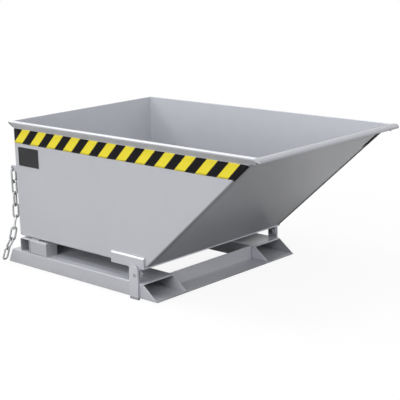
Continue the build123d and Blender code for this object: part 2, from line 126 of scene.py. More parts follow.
class HopperPaint(bpy.types.PropertyGroup):
    """Finishes of the metal, rubber and label."""

    silver: colour_property("Silver", "Colour of the sprayed coat", (0.500, 0.510, 0.548))
    silver_roughness: share_property("Paint roughness", "Roughness of the sprayed coat", 0.42)
    lacquer: share_property("Lacquer", "Weight of the clear layer over the coat", 0.45)
    lacquer_roughness: share_property("Lacquer roughness", "Roughness of the clear layer", 0.12)
    cloud_tone: share_property("Clouds", "How far the coat's tone varies over a sheet", 0.09)
    mottle_tone: share_property("Mottles", "How far the coat's tone varies over a hand's breadth", 0.05)
    flake_tone: share_property("Flakes", "How far the coat's tone varies from flake to flake", 0.07)
    peel_height: length_property("Orange peel", "Height of the coat's orange peel", 0.00012)
    wave_height: length_property("Sheet waves", "Height of the sheets' slight waves", 0.004)
    edge_radius: length_property("Edge radius", "Radius of the softened and rubbed edges", 0.0025)
    # Edges paler for wear and for a painted highlight
    edge_wear_and_highlight: share_property("Edge wear", "How much paler the rubbed edges are", 0.35)
    scuff_wear: share_property("Scuff wear", "How much paler the scuffs are", 0.05)
    # Painted highlight on the tops of rims and hinge plates
    rim_highlight: share_property("Rim wear", "How much paler the tops of rims and hinge plates are", 0.48)
    # Painted light on the frame's level faces
    deck_top_light: share_property("Deck wear", "How much paler the level faces of the frame are", 0.12)
    # Lit and shaded copies of the coat: painted light on the bar under the bend, the hinge brackets, the
    # front cross plate and the left pocket's inner wall, painted shade on the rest tubes
    bar_light_tone: tone_property("Bar tone", "Tone of the flat bar under the bend", 1.6)
    rest_shade_tone: tone_property("Rest tone", "Tone of the dusty rest tubes", 0.84)
    bracket_light_tone: tone_property("Bracket tone", "Tone of the hinge brackets", 1.10)
    step_light_tone: tone_property("Step tone", "Tone of the front cross plate", 1.12)
    pocket_light_tone: tone_property("Pocket tone", "Tone of the left pocket's inner wall", 1.45)
    weld_tone: tone_property("Weld tone", "Tone of the painted welds", 0.93)
    weld_roughness: share_property("Weld roughness", "Roughness of the painted welds", 0.47)
    soil: share_property("Soil", "How much darker the coat is near the floor", 0.22)
    soil_height: length_property("Soil height", "Height up to which the coat is soiled", 0.10)
    patch_roughness: share_property("Soil roughness", "How much rougher a fully soiled coat is", 0.60)
    # Painted contact shadow on the faces just over the floor
    contact_shadow: share_property("Grime", "How much darker the lowest edges are", 0.45)
    contact_shadow_height: length_property("Grime height", "Height at which the grime starts", 0.0129)
    contact_shadow_fade: length_property("Grime fade", "Height over which the grime comes in", 0.002)
    # Painted shade deep in the fork pockets and the rear tube, and under the rims' mitred corners
    hollow_shade: share_property("Hollow soil", "How much darker the depths of pockets and tubes are", 0.55)
    pocket_daylight: length_property("Pocket daylight", "Length over which a pocket's soil comes in", 0.25)
    tube_daylight: length_property("Tube daylight", "Length over which the tube's soil comes in", 0.09)
    tube_wall: length_property("Tube wall", "Wall of the rear tube", 0.004)
    # Painted shadow of the tub on the decks, and painted light on the right deck below the tub's wall
    deck_shade: share_property("Deck soil", "How much darker the decks are under the tub", 0.53)
    deck_shade_fade: length_property("Deck soil fade", "Width over which a deck's soil comes in", 0.08)
    deck_shade_edge: length_property("Deck soil edge", "Width of the right deck outside its soil", 0.070)
    deck_light: share_property("Deck dust", "How much paler the right deck is below the tub's wall", 0.36)
    deck_light_fade: length_property("Deck dust fade", "Width over which the deck's dust comes in", 0.025)
    deck_light_edge: length_property("Deck dust edge", "Width of the right deck outside its dust", 0.011)
    deck_fade: length_property("Deck fade", "Length over which a deck's soil and dust come in", 0.10)
    deck_front: length_property("Deck front", "Length of the left deck's clean front end", 0.034)
    # Painted shade under the rims' mitred rear corners
    mitre_length: length_property("Mitre length", "Length of a rim's soiled rear corner", 0.008)
    mitre_below_top: length_property("Mitre drop", "How far below a rim's top that soil starts", 0.005)
    mitre_fade: length_property("Mitre fade", "Length over which a soiled corner comes in", 0.002)
    # Painted shade along the chute's seams, darker on the left
    left_seam_shade: share_property("Left seam soil", "How much darker the chute's left seam is", 0.86)
    right_seam_shade: share_property("Right seam soil", "How much darker the chute's right seam is", 0.25)
    seam_width: length_property("Seam width", "Width of the darkest strip along a seam", 0.016)
    seam_fade: length_property("Seam fade", "Width over which that strip comes in", 0.022)
    seam_end: length_property("Seam end", "Length over which that strip ends past the chute", 0.05)
    # Painted shade on the chute's underside, darker towards its foot
    chute_shade: share_property("Chute soil", "How much darker the chute's underside is at its foot", 0.19)
    chute_shade_top: length_property("Chute soil top", "Height up to which that soil reaches", 0.42)
    chute_shade_fade: length_property("Chute soil fade", "Height over which that soil comes in", 0.25)
    # Painted shade on the top of the chute's lip
    lip_shade: share_property("Lip soil", "How much darker the top of the chute's lip is", 0.20)
    zinc: colour_property("Zinc", "Colour of the plated chain", (0.405, 0.414, 0.423))
    zinc_roughness: share_property("Zinc roughness", "Roughness of the plated chain", 0.34)
    zinc_metal: share_property("Zinc metal", "How metallic the plated chain is", 0.8)
    # Painted shade where chain links meet
    zinc_link_shade: share_property("Zinc hollows", "Tone that is left where links meet", 0.15)
    steel: colour_property("Steel", "Colour of turned pins and bushes", (0.399, 0.399, 0.4085))
    steel_roughness: share_property("Steel roughness", "Roughness of turned pins and bushes", 0.30)
    rubber: colour_property("Rubber", "Colour of the rest pads", (0.40, 0.41, 0.42))
    rubber_dust: colour_property("Rubber dust", "Colour of the dust on the pads", (0.16, 0.155, 0.15))
    rubber_roughness: share_property("Rubber roughness", "Roughness of the rest pads", 0.72)
    label_dark: colour_property("Label face", "Colour of the blank label", (0.010, 0.010, 0.012))
    label_wiped: colour_property("Label wipes", "Colour of wiped spots on the label", (0.20, 0.20, 0.21))
    label_pale: colour_property("Label border", "Colour of the label's border", (0.58, 0.58, 0.58))
    label_border: length_property("Label border width", "Width of the label's pale border", 0.0015)
    label_roughness: share_property("Label roughness", "Roughness of the label", 0.40)
    label_shine: share_property("Label shine", "Strength of the label's reflections", 0.25)


class HopperTape(bpy.types.PropertyGroup):
    """Striped tape along both side walls."""

    yellow: colour_property("Yellow", "Colour of the bright stripes", (0.97, 0.82, 0.06))
    black: colour_property("Black", "Colour of the dark stripes", (0.006, 0.005, 0.007))
    rubbed: colour_property("Rubbed", "Colour of the tape's rubbed spots", (0.30, 0.30, 0.31))
    tone: tone_property("Tone", "Tone of the tape in the middle of its film's cells", 1.04)
    roughness: share_property("Roughness", "Roughness of the tape", 0.36)
    shine: share_property("Shine", "Strength of the tape's reflections", 0.08)
    pitch: length_property("Pitch", "Length of one yellow and one black stripe", 0.12845)
    yellow_share: share_property("Yellow share", "Share of the pitch that is yellow", 0.504)
    lean: FloatProperty(name="Lean", description="Run of a stripe per unit of its rise", default=1.0)
    start: FloatProperty(
        name="Start",
        description="Place along the wall where a stripe would start at floor height",
        default=-1.4385,
        unit="LENGTH",
    )
    thickness: length_property("Thickness", "Thickness of the tape", 0.0004)
    corner: length_property("Corner radius", "Radius of the tub's bent edges", 0.008)
    turn_in: length_property("Turn-in", "Length of the left tape folded on to the chute", 0.040)
    left_shift: length_property("Left shift", "How far ahead the left tape's stripes lie", 0.030)
    stations: count_property("Stations", "Faces of the tape along a wall", 48)
    turns: count_property("Turns", "Faces of the tape round the bend", 8)
    levels: count_property("Levels", "Faces of the tape over its width", 7)


class HopperWelds(bpy.types.PropertyGroup):
    """Weld beads along the joined edges."""

    radius: length_property("Radius", "Radius of a bead", 0.0028)
    stand_off: share_property("Stand-off", "Rise of a bead over its corner as a share of the radius", 0.35)
    groove: length_property("Groove", "Distance of a bead from a rounded tube's face", 0.0050)
    ripple: length_property("Ripple", "Distance between two ripples of a bead", 0.0052)
    steps: count_property("Steps", "Faces along a bead for each ripple", 5)
    depth: share_property("Depth", "Height of the ripples as a share of the radius", 0.13)
    wobble: share_property("Wobble", "Unevenness of a bead as a share of the radius", 0.4)
    end: share_property("End", "Radius of a bead's ends as a share of the radius", 0.35)
    taper: FloatProperty(
        name="Taper", description="How fast a bead thickens from its ends", default=18.0, min=0.0
    )
    corners: count_property("Corners", "Corners of a bead's section", 8, least=3)


class HopperStudio(bpy.types.PropertyGroup):
    """Camera, lamps and floor."""

    aim: FloatVectorProperty(
        name="Aim",
        description="Point that the camera looks at",
        default=(-0.00321, 0.07109, 0.35456),
        size=3,
        subtype="TRANSLATION",
    )
    distance: length_property("Distance", "Distance from the aim to the camera", 5.6902)
    azimuth: angle_property("Azimuth", "Turn of the camera round the object", 43.2514)
    elevation: angle_property("Elevation", "Height of the camera above the horizon", 13.6574)
    roll: angle_property("Roll", "Tilt of the camera about its own axis", -1.5568)
    lens: FloatProperty(name="Lens", description="Focal length in millimetres", default=99.3808, min=1.0)
    sky: share_property("Sky", "Strength of the even light all round", 0.44)
    top: power_property("Top", "Power of the lamp overhead", 100.0)
    back: power_property("Back", "Power of the lamp behind", 80.0)
    side: power_property("Side", "Power of the lamp beside the object", 125.0)
    front: power_property("Front", "Power of the lamp ahead", 36.0)
    floor_half: length_property("Floor half", "Half the width of the floor", 30.0)
    floor_grey: share_property("Floor grey", "Brightness of the floor's own colour to the camera", 0.9)
    floor_bounce: share_property("Floor bounce", "Brightness of the floor as the object sees it", 0.07)
    floor_white: share_property("Floor white", "Share of plain white in the floor round the object", 0.91)
    floor_near: length_property("Floor near", "Distance at which the white starts to grow", 0.8)
    floor_far: length_property("Floor far", "Distance from which the floor is plain white", 2.4)


# Node trees


class Wire:
    """A node's output. Arithmetic on it adds Math nodes to the same tree."""

    def __init__(self, board, socket):
        self.board = board
        self.socket = socket

    def __add__(self, other):
        return self.board.maths("ADD", self, other)

    def __sub__(self, other):
        return self.board.maths("SUBTRACT", self, other)

    def __rsub__(self, other):
        return self.board.maths("SUBTRACT", other, self)

    def __mul__(self, other):
        return self.board.maths("MULTIPLY", self, other)

    def __truediv__(self, other):
        return self.board.maths("DIVIDE", self, other)

    __radd__ = __add__
    __rmul__ = __mul__

    def swing(self, amount):
        """A noise from nought to one as a swing about nought, by an amount from end to end."""
        return (self - 0.5) * amount


class Board:
    """One node tree, filled by naming each node's type, settings and inputs."""

    def __init__(self, tree):
        self.tree = tree

    def node(self, kind, settings=None, inputs=None, output=0):
        """Add a node: settings first, then values or wires for its sockets."""
        made = self.tree.nodes.new(kind)
        for key, value in (settings or {}).items():
            setattr(made, key, value)
        for key, value in (inputs or {}).items():
            if isinstance(value, Wire):
                self.tree.links.new(value.socket, made.inputs[key])
            else:
                made.inputs[key].default_value = value
        return Wire(self, made.outputs[output]) if made.outputs else None

    def maths(self, operation, first, second=0.0, clamp=False):
        """A Math node."""
        settings = {"operation": operation, "use_clamp": clamp}
        return self.node("ShaderNodeMath", settings, {0: first, 1: second})

    def vector_maths(self, operation, first, second=(0.0, 0.0, 0.0), output=0):
        """A Vector Math node."""
        return self.node("ShaderNodeVectorMath", {"operation": operation}, {0: first, 1: second}, output)

    def clamped(self, value):
        """A value held between nought and one."""
        return self.maths("ADD", value, 0.0, clamp=True)

    def ramp(self, value, start, end):
        """A share that grows from nought where a value is at its start to one at its end."""
        return self.maths("DIVIDE", value - start, end - start, clamp=True)

    def noise(self, place, scale, detail):
        """Smooth noise from nought to one."""
        return self.node("ShaderNodeTexNoise", None, {"Vector": place, "Scale": scale, "Detail": detail})

    def stretched(self, place, scale):
        """Places stretched along the axes, for a noise that is drawn out."""
        return self.node("ShaderNodeMapping", None, {"Vector": place, "Scale": scale})

    def mixed(self, share, first, second):
        """A colour between two colours."""
        return self.node("ShaderNodeMix", {"data_type": "RGBA"}, {0: share, 6: first, 7: second}, 2)

    def toned(self, colour, tone):
        """A colour made lighter or darker by a value."""
        return self.node("ShaderNodeVectorMath", {"operation": "SCALE"}, {0: colour, "Scale": tone})

    def parts(self, vector):
        """The three numbers of a vector."""
        first = self.node("ShaderNodeSeparateXYZ", None, {0: vector})
        return [Wire(self, socket) for socket in first.socket.node.outputs]

    def ray(self, kind):
        """One for a ray of a kind, such as Camera for what the camera sees, and nought for others."""
        return self.node("ShaderNodeLightPath", output=f"Is {kind} Ray")

    def bump(self, shape, height, normal=None):
        """A surface normal raised by a shape of some height."""
        inputs = {"Height": shape, "Distance": height, "Strength": 1.0}
        if normal is not None:
            inputs["Normal"] = normal
        return self.node("ShaderNodeBump", None, inputs)


class Finish(Board):
    """A material with one surface shader."""

    def __init__(self, name):
        self.material = bpy.data.materials.new(name)
        self.material.use_nodes = True
        super().__init__(self.material.node_tree)
        self.tree.nodes.clear()

    def place(self):
        """Where a point lies on the object."""
        return self.node("ShaderNodeTexCoord", output="Object")

    def close(self, colour, roughness, normal, others=None):
        """Add the surface shader, with values for its other sockets, and return the material."""
        inputs = {"Base Color": colour, "Roughness": roughness, "Normal": normal, **(others or {})}
        surface = self.node("ShaderNodeBsdfPrincipled", None, inputs)
        self.node("ShaderNodeOutputMaterial", None, {"Surface": surface})
        return self.material


def with_alpha(colour):
    """A colour with the fourth number that a colour socket needs."""
    return (*colour, 1.0)


def both(node):
    """Names of the left and the right piece of a pair."""
    return [f"{node}_{side}" for side, _ in SIDES]


# Painted shade and light


class Patch(NamedTuple):
    """A box of painted shade, in which the coat is darker, or of painted light, paler, where its strength is
    below nought.
    """

    low: Vector
    high: Vector
    fade: Vector
    strength: float
    way: Vector = None

    def depth(self, finish, place, facing):
        """Nought outside the box, one inside it past the fade, and less for a face turned from the way."""
        middle = (self.low + self.high) / 2
        half = (self.high - self.low) / 2
        offset = finish.vector_maths("SUBTRACT", place, middle)
        room = finish.vector_maths("SUBTRACT", half, finish.vector_maths("ABSOLUTE", offset))
        shares = finish.parts(finish.vector_maths("DIVIDE", room, self.fade))
        depth = finish.clamped(shares[0]) * finish.clamped(shares[1]) * finish.clamped(shares[2])
        if self.way is not None:
            depth = depth * finish.clamped(finish.vector_maths("DOT_PRODUCT", facing, self.way, "Value"))
        return depth


def frame_hollow_shades(look):
    """Painted shade down both fork pockets and the rear tube, growing darker away from their openings."""
    patches = []
    for side, _ in SIDES:
        floor_low, floor_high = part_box(f"pocket_floor_{side}")
        roof_low, roof_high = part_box(f"pocket_top_{side}")
        low = Vector((roof_low.x, floor_low.y - SKIN, floor_high.z - SKIN))
        high = Vector((roof_high.x, floor_high.y + SKIN, roof_low.z + SKIN))
        patches.append(Patch(low, high, Vector((look.pocket_daylight, SKIN, SKIN)), look.hollow_shade))
    low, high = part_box("rear_cross_tube")
    wall = Vector((look.tube_wall - SKIN, 0.0, look.tube_wall - SKIN))
    fade = Vector((SKIN, look.tube_daylight, SKIN))
    patches.append(Patch(low + wall, high - wall, fade, look.hollow_shade))
    return patches


def deck_shade_and_light(look):
    """Painted shadow of the tub on the tops of both pockets, and painted light on the right one below the
    tub's wall.
    """
    shaded = Vector((look.deck_fade, look.deck_shade_fade, SKIN))
    lit = Vector((look.deck_fade, look.deck_light_fade, SKIN))
    low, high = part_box("pocket_top_left")
    left_low = Vector((low.x, low.y - shaded.y, high.z - SKIN))
    left_high = Vector((high.x - look.deck_front, high.y + shaded.y, high.z + SKIN))
    low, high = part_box("pocket_top_right")
    shade_edge = low.y + look.deck_shade_edge
    rest_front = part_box("rest_cap_right")[1].x
    right_low = Vector((rest_front, shade_edge, high.z - SKIN))
    right_high = Vector((high.x, high.y + shaded.y, high.z + SKIN))
    light_low = Vector((low.x, low.y + look.deck_light_edge, high.z - SKIN))
    light_high = Vector((high.x, shade_edge + lit.y, high.z + SKIN))
    return [
        Patch(left_low, left_high, shaded, look.deck_shade),
        Patch(right_low, right_high, shaded, look.deck_shade),
        Patch(light_low, light_high, lit, -look.deck_light),
    ]


def rim_mitre_shades(look):
    """Painted shade under the rims' mitred rear corners."""
    low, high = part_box("rim_rear")
    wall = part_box("side_wall_left")[1].y
    step = look.mitre_fade
    fade = Vector((step, step, step))
    patches = []
    for near, far in ((wall, high.y + step), (low.y - step, -wall)):
        corner_low = Vector((low.x - step, near, low.z))
        corner_high = Vector((high.x + look.mitre_length, far, high.z - look.mitre_below_top))
        patches.append(Patch(corner_low, corner_high, fade, look.hollow_shade))
    return patches


def seam_shades(look):
    """Painted shade along both seams under the chute, darker on the left."""
    low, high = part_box("chute_plate")
    past = Vector((look.seam_end, 0.0, look.seam_end))
    fade = Vector((look.seam_end, look.seam_fade, look.seam_end))
    strengths = {"left": look.left_seam_shade, "right": look.right_seam_shade}
    patches = []
    for side, sign in SIDES:
        wall_low, wall_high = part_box(f"side_wall_{side}")
        outside = wall_high.y if sign > 0 else wall_low.y
        inner = outside - sign * (look.seam_width + look.seam_fade)
        outer = inner + sign * FAR
        seam_low = Vector((low.x, min(inner, outer), low.z)) - past
        seam_high = Vector((high.x, max(inner, outer), high.z)) + past
        patches.append(Patch(seam_low, seam_high, fade, strengths[side], AHEAD))
    return patches


def chute_foot_shade(look):
    """Painted shade at the foot of the chute's underside, which ends only at its top."""
    low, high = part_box("chute_plate")
    foot_low = low - Vector((FAR, FAR, FAR))
    foot_high = Vector((high.x + FAR, high.y + FAR, look.chute_shade_top))
    fade = Vector((FAR, FAR, look.chute_shade_fade))
    return Patch(foot_low, foot_high, fade, look.chute_shade, AHEAD)


# Finishes


def silver_paint(name, look, edge_wear_and_highlight, top_light_and_shade=0.0, light_tone=1.0, patches=()):
    """Sprayed silver coat: clouds, flakes, orange peel, wavy sheet, scuffs and soil near the floor, edges
    paler for wear and a painted highlight, painted light and shade on level tops, a painted contact shadow
    on the lowest faces, a tone that paints light or shade on the whole coat, and boxes of painted shade and
    light.
    """
    finish = Finish(name)
    place = finish.place()
    height = finish.parts(place)[2]
    facing = finish.node("ShaderNodeTexCoord", output="Normal")
    rise = finish.parts(facing)[2]
    upward = finish.ramp(rise, 0.0, 0.5)
    # Level tops, on which the coat gets painted light or painted shade
    level = finish.ramp(rise, 0.6, 0.933)
    clouds = finish.noise(place, scale=1.7, detail=3.0)
    mottles = finish.noise(place, scale=16.0, detail=4.0)
    flakes = finish.noise(place, scale=1300.0, detail=0.0)
    hairs = finish.noise(finish.stretched(place, (4.0, 170.0, 40.0)), scale=1.0, detail=2.0)
    scuffs = finish.ramp(hairs, 0.63, 0.713) * upward
    soil = finish.ramp(height, look.soil_height, 0.0) * mottles
    # Painted contact shadow, darker below a height just over the floor
    contact_shadow = finish.ramp(height, look.contact_shadow_height, look.contact_shadow_height - look.contact_shadow_fade)
    flat = finish.node("ShaderNodeNewGeometry", output="Normal")
    rounded = finish.node("ShaderNodeBevel", {"samples": 6}, {"Radius": look.edge_radius})
    flatness = finish.vector_maths("DOT_PRODUCT", flat, rounded, "Value")
    # Edges paler for wear and for a painted highlight, except where the contact shadow is painted
    edges = finish.ramp(flatness, 1.0, 0.833) * (1.0 - contact_shadow)
    # The light tone paints light or shade over the whole coat
    tone = light_tone + clouds.swing(look.cloud_tone) + mottles.swing(look.mottle_tone)
    tone = tone + flakes.swing(look.flake_tone) + scuffs * look.scuff_wear
    tone = tone + edges * edge_wear_and_highlight + level * top_light_and_shade - soil * look.soil - contact_shadow * look.contact_shadow
    gloss = look.lacquer + level * top_light_and_shade
    roughness = look.silver_roughness + mottles.swing(0.12) + scuffs * 0.10 + soil * 0.18
    # Each patch paints shade, or light where its strength is below nought, and dulls the coat
    for patch in patches:
        depth = patch.depth(finish, place, facing)
        cover = depth * abs(patch.strength)
        tone = tone - depth * patch.strength
        gloss = gloss - cover
        roughness = roughness + cover * look.patch_roughness
    colour = finish.toned(tuple(look.silver), finish.maths("MAXIMUM", tone, LEAST_TONE))
    waves = finish.noise(place, scale=2.6, detail=1.0)
    peel = finish.noise(place, scale=420.0, detail=2.0)
    normal = finish.bump(peel, look.peel_height, finish.bump(waves, look.wave_height, rounded))
    lacquer = {"Coat Weight": finish.clamped(gloss), "Coat Roughness": look.lacquer_roughness}
    return finish.close(colour, roughness, normal, lacquer)


def painted_weld(look):
    """The same coat over a weld: darker in its pits and a little rougher."""
    finish = Finish("painted_weld")
    place = finish.place()
    grit = finish.noise(place, scale=700.0, detail=3.0)
    blotches = finish.noise(place, scale=24.0, detail=2.0)
    colour = finish.toned(tuple(look.silver), look.weld_tone + grit.swing(0.16) + blotches.swing(0.10))
    roughness = look.weld_roughness + grit.swing(0.2)
    normal = finish.bump(grit, height=0.0003)
    lacquer = {"Coat Weight": look.lacquer, "Coat Roughness": look.lacquer_roughness}
    return finish.close(colour, roughness, normal, lacquer)


def zinc_plate(look):
    """Dull zinc with its patchwork of crystals, and painted shade where links meet."""
    finish = Finish("zinc_plate")
    place = finish.place()
    crystals = finish.node("ShaderNodeTexVoronoi", None, {"Vector": place, "Scale": 260.0}, "Color")
    crystal = finish.parts(crystals)[0]
    stains = finish.noise(place, scale=90.0, detail=4.0)
    # Painted shade from the occlusion by nearby links
    openness = finish.node("ShaderNodeAmbientOcclusion", {"samples": 8}, {"Distance": 0.012}, "AO")
    daylight = look.zinc_link_shade + openness * (1.0 - look.zinc_link_shade)
    colour = finish.toned(tuple(look.zinc), (1.0 + crystal.swing(0.196) + stains.swing(0.38)) * daylight)
    roughness = look.zinc_roughness + crystal.swing(0.14) + stains.swing(0.2)
    normal = finish.bump(stains, height=0.0003)
    return finish.close(colour, roughness, normal, {"Metallic": look.zinc_metal})


def turned_steel(look):
    """Bare steel with fine turning lines and a film of oil."""
    finish = Finish("turned_steel")
    place = finish.place()
    lines = finish.noise(finish.stretched(place, (8.0, 900.0, 8.0)), scale=1.0, detail=2.0)
    film = finish.noise(place, scale=60.0, detail=3.0)
    colour = finish.toned(tuple(look.steel), 1.0 + lines.swing(0.263) - film * 0.21)
    roughness = look.steel_roughness + lines.swing(0.2) + film * 0.12
    normal = finish.bump(lines, height=0.0001)
    return finish.close(colour, roughness, normal, {"Metallic": 1.0})


def pad_rubber(look):
    """Grey rubber, patched by dust and finely grained."""
    finish = Finish("pad_rubber")
    place = finish.place()
    dust = finish.noise(place, scale=45.0, detail=5.0)
    grain = finish.noise(place, scale=1100.0, detail=1.0)
    colour = finish.mixed(dust * 0.18, with_alpha(look.rubber), with_alpha(look.rubber_dust))
    roughness = look.rubber_roughness + dust.swing(0.2)
    normal = finish.bump(grain, height=0.0002)
    return finish.close(colour, roughness, normal)


def blank_label(look):
    """Dark plate with a pale border and nothing on it."""
    finish = Finish("blank_label")
    place = finish.place()
    low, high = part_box("label_plate")
    across, _, height = finish.parts(place)
    inset = finish.maths("MINIMUM", across - low.x, high.x - across)
    inset = finish.maths("MINIMUM", inset, finish.maths("MINIMUM", height - low.z, high.z - height))
    border = finish.maths("LESS_THAN", inset, look.label_border)
    wipes = finish.noise(place, scale=38.0, detail=4.0)
    grain = finish.noise(place, scale=600.0, detail=2.0)
    face = finish.mixed(wipes * 0.10, with_alpha(look.label_dark), with_alpha(look.label_wiped))
    colour = finish.mixed(border, face, with_alpha(look.label_pale))
    roughness = look.label_roughness + wipes.swing(0.22)
    normal = finish.bump(grain, height=0.00006)
    return finish.close(colour, roughness, normal, {"Specular IOR Level": look.label_shine})


def striped_tape(look):
    """Slanted stripes that follow the tape's own run and height, with a cellular film and rubbed spots."""
    finish = Finish("striped_tape")
    place = finish.place()
    run, height, _ = finish.parts(finish.node("ShaderNodeUVMap", {"uv_map": "tape_run"}))
    step = (run - height * look.lean - look.start) / look.pitch
    bright = finish.maths("LESS_THAN", finish.maths("FRACT", step), look.yellow_share)
    cells = finish.node("ShaderNodeTexVoronoi", None, {"Vector": place, "Scale": 380.0})
    rubs = finish.noise(place, scale=30.0, detail=5.0)
    worn = finish.ramp(rubs, 0.6, 1.1)
    colour = finish.mixed(bright, with_alpha(look.black), with_alpha(look.yellow))
    colour = finish.mixed(worn * 0.10, colour, with_alpha(look.rubbed))
    colour = finish.toned(colour, look.tone - cells * 0.12)
    roughness = look.roughness + worn * 0.3 + rubs.swing(0.08)
    normal = finish.bump(cells, height=0.00008)
    return finish.close(colour, roughness, normal, {"Specular IOR Level": look.shine})


def new_piece(name, mesh, body):
    """Show a mesh as a piece that moves with a body."""
    piece = bpy.data.objects.new(name, mesh)
    bpy.context.scene.collection.objects.link(piece)
    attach(piece, body)
    return piece


# Painting the CAD pieces


def own_coats(look):
    """Silver finishes of single nodes, most of them carrying painted light or painted shade: a name, the
    nodes, and how the finish differs from the plain coat.
    """
    hollow_shades = frame_hollow_shades(look)
    seams = seam_shades(look)
    # The lip: no paler edges, and painted shade on its top
    lip = {"edge_wear_and_highlight": 0.0, "top_light_and_shade": -look.lip_shade}
    tub = {"edge_wear_and_highlight": look.edge_wear_and_highlight}
    # Frame pieces: painted light on their level faces
    base = {"edge_wear_and_highlight": look.edge_wear_and_highlight, "top_light_and_shade": look.deck_top_light}
    # Rims and hinge plates: a painted highlight on their tops and painted shade under the rims' mitres
    highlit_nodes = ["rim_rear", *both("rim"), *both("hinge_plate")]
    rubbed = {**tub, "top_light_and_shade": look.rim_highlight, "patches": rim_mitre_shades(look)}
    return (
        ("lip_silver", ["front_lip", *both("lip_end")], lip),
        ("rubbed_silver", highlit_nodes, rubbed),
        # Chute and side walls: painted shade along the seams, and on the chute at its foot
        ("chute_silver", ["chute_plate"], {**tub, "patches": [*seams, chute_foot_shade(look)]}),
        ("wall_silver", both("side_wall"), {**tub, "patches": seams}),
        # Lit and shaded copies of the coat: painted light on the bar, the brackets, the front cross plate
        # and the left pocket's wall, painted shade on the rests
        ("bar_silver", ["floor_bar"], {**tub, "light_tone": look.bar_light_tone}),
        ("rest_silver", both("rest_tube"), {**base, "light_tone": look.rest_shade_tone}),
        ("bracket_silver", both("hinge_bracket"), {**base, "light_tone": look.bracket_light_tone}),
        ("step_silver", ["front_cross_plate"], {**base, "light_tone": look.step_light_tone}),
        ("pocket_silver", ["pocket_inner_left"], {**base, "light_tone": look.pocket_light_tone, "patches": hollow_shades}),
        # Decks: painted shade in the pockets, the tub's painted shadow and painted light
        ("deck_silver", both("pocket_top"), {**base, "patches": hollow_shades + deck_shade_and_light(look)}),
    )


class HOPPER_OT_paint(bpy.types.Operator):
    """Give every CAD piece its own finish or that of its material slot"""

    bl_idname = "hopper.paint"
    bl_label = "Paint the CAD pieces"

    def execute(self, context):
        look = context.scene.hopper_paint
        by_slot = {
            "tub_paint": silver_paint("tub_silver", look, look.edge_wear_and_highlight),
            # The frame's coat gets painted light on its level faces and painted shade in its hollows
            "frame_paint": silver_paint(
                "frame_silver", look, look.edge_wear_and_highlight, look.deck_top_light, patches=frame_hollow_shades(look)
            ),
            "zinc_chain": zinc_plate(look),
            "bare_steel": turned_steel(look),
            "pad_rubber": pad_rubber(look),
            "label": blank_label(look),
            "hazard_tape": striped_tape(context.scene.hopper_tape),
        }
        by_node = {}
        for name, nodes, settings in own_coats(look):
            by_node.update(dict.fromkeys(nodes, silver_paint(name, look, **settings)))
        for part in frame["record"]["subparts"]:
            node = part["node"]
            mesh = frame["nodes"][node].data
            mesh.materials.clear()
            mesh.materials.append(by_node.get(node, by_slot[part["material_slot"]]))
        return {"FINISHED"}


# Striped tape


def tape_rows(side, sign, look):
    """Rows of points along the tape at rising heights, each with its normal and its run."""
    node = f"hazard_tape_{side}"
    low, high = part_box(node)
    middle = (low.z + high.z) / 2
    corners = [vertex.co for vertex in frame["nodes"][node].data.vertices]
    front_low = max(corner.x for corner in corners if corner.z < middle)
    wall_y = low.y if sign > 0 else high.y
    along = Vector((high.x - front_low, 0.0, high.z - low.z)).normalized()
    out = Vector((0.0, sign, 0.0))
    off_chute = Vector((along.z, 0.0, -along.x))
    shift = look.left_shift if side == "left" else 0.0
    rows = []
    for level in range(look.levels + 1):
        share = level / look.levels
        height = low.z + (high.z - low.z) * share
        front = front_low + (high.x - front_low) * share
        row = []
        for station in range(look.stations):
            run = low.x + (front - low.x) * station / look.stations
            row.append((Vector((run, wall_y, height)), out, run - shift))
        centre = Vector((front, wall_y, height)) - out * look.corner
        for turn in range(look.turns + 1):
            angle = math.pi / 2 * turn / look.turns
            normal = out * math.cos(angle) + off_chute * math.sin(angle)
            row.append((centre + normal * look.corner, normal, front + look.corner * angle - shift))
        if side == "left":
            end = centre + off_chute * look.corner - out * look.turn_in
            row.append((end, off_chute, front + look.corner * math.pi / 2 + look.turn_in - shift))
        rows.append((height, row))
    return rows


def tape_mesh(side, sign, look):
    """Closed thin strip over the rows of points, with its run and height as a UV map."""
    rows = tape_rows(side, sign, look)
    shell = bmesh.new()
    uv = shell.loops.layers.uv.new("tape_run")
    where = {}
    sheets = []
    for lift in (0.0, look.thickness):
        sheet = []
        for height, row in rows:
            points = []
            for place, normal, run in row:
                vertex = shell.verts.new(place + normal * lift)
                where[vertex] = (run, height)
                points.append(vertex)
            sheet.append(points)
        sheets.append(sheet)
    inner, outer = sheets
    last_row = len(rows) - 1
    last = len(rows[0][1]) - 1
    for sheet in sheets:
        for first, second in zip(sheet, sheet[1:]):
            for index in range(last):
                shell.faces.new((first[index], first[index + 1], second[index + 1], second[index]))
    for edge in (0, last_row):
        below, above = inner[edge], outer[edge]
        for index in range(last):
            shell.faces.new((below[index], below[index + 1], above[index + 1], above[index]))
    for edge in (0, last):
        for row in range(last_row):
            shell.faces.new((inner[row][edge], inner[row + 1][edge], outer[row + 1][edge], outer[row][edge]))
    bmesh.ops.recalc_face_normals(shell, faces=shell.faces)
    for face in shell.faces:
        face.smooth = True
        for loop in face.loops:
            loop[uv].uv = where[loop.vert]
    mesh = bpy.data.meshes.new(f"tape_{side}")
    shell.to_mesh(mesh)
    shell.free()
    return mesh


class HOPPER_OT_tape(bpy.types.Operator):
    """Lay the striped tape on both walls and fold its front end round the bend"""

    bl_idname = "hopper.tape"
    bl_label = "Lay the tape"

    def execute(self, context):
        look = context.scene.hopper_tape
        for side, sign in SIDES:
            mesh = tape_mesh(side, sign, look)
            mesh.materials.append(bpy.data.materials["striped_tape"])
            piece = new_piece(f"striped_tape_{side}", mesh, "hopper")
            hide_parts(f"hazard_tape_{side}")
        return {"FINISHED"}


# Weld beads


